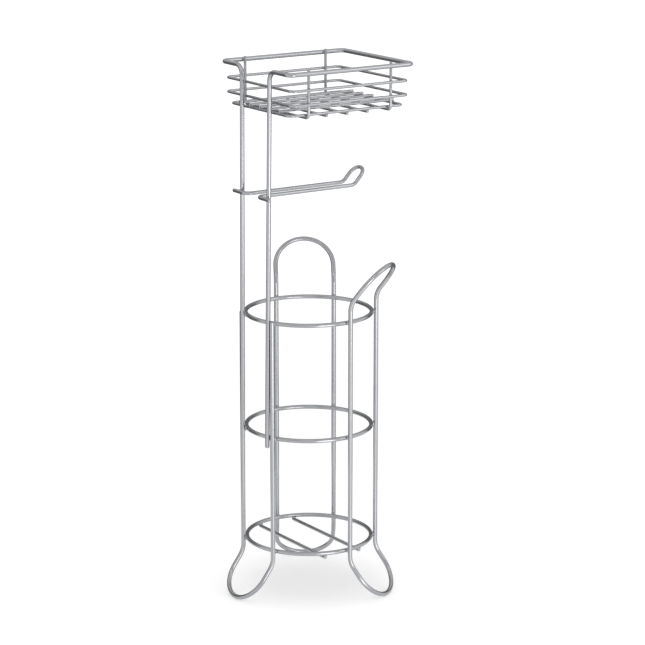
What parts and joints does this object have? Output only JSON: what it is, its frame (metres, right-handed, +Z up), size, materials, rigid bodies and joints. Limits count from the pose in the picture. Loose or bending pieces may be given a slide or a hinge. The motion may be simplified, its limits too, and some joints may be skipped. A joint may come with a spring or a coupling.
{
  "type": "toilet roll storage stand",
  "caption": "Free-standing welded wire stand: rings and looped legs hold spare toilet rolls in a stack, a hairpin arm carries the roll in use, and a basket tops it.",
  "frame": {"origin": "on the axis of the stack rings, at floor level", "axes": "+Z up along the stack of rolls; +X from the two tall posts along the roll arm and the basket; the X-Z plane is the stand's mirror plane"},
  "size_m": [0.1994, 0.192, 0.6104],
  "materials": {
    "frame_wire": "satin silver",
    "basket_wire": "satin silver"
  },
  "bodies": {
    "root": {"post_frame": "frame_wire", "post_leg": "frame_wire", "front_side_loop": "frame_wire", "rear_side_loop": "frame_wire", "roll_arm": "frame_wire", "stack_ring_1": "frame_wire", "stack_ring_2": "frame_wire", "stack_ring_3": "frame_wire", "base_wire_1": "frame_wire", "base_wire_2": "frame_wire", "basket_upper_band": "basket_wire", "basket_lower_band": "basket_wire", "basket_floor_frame": "basket_wire", "basket_cradle_wire_left": "basket_wire", "basket_cradle_wire_right": "basket_wire", "basket_long_wire_1": "basket_wire", "basket_long_wire_2": "basket_wire", "basket_long_wire_3": "basket_wire", "basket_long_wire_4": "basket_wire", "basket_long_wire_5": "basket_wire", "basket_cross_wire_1": "basket_wire", "basket_cross_wire_2": "basket_wire", "basket_cross_wire_3": "basket_wire"}
  },
  "joints": []
}
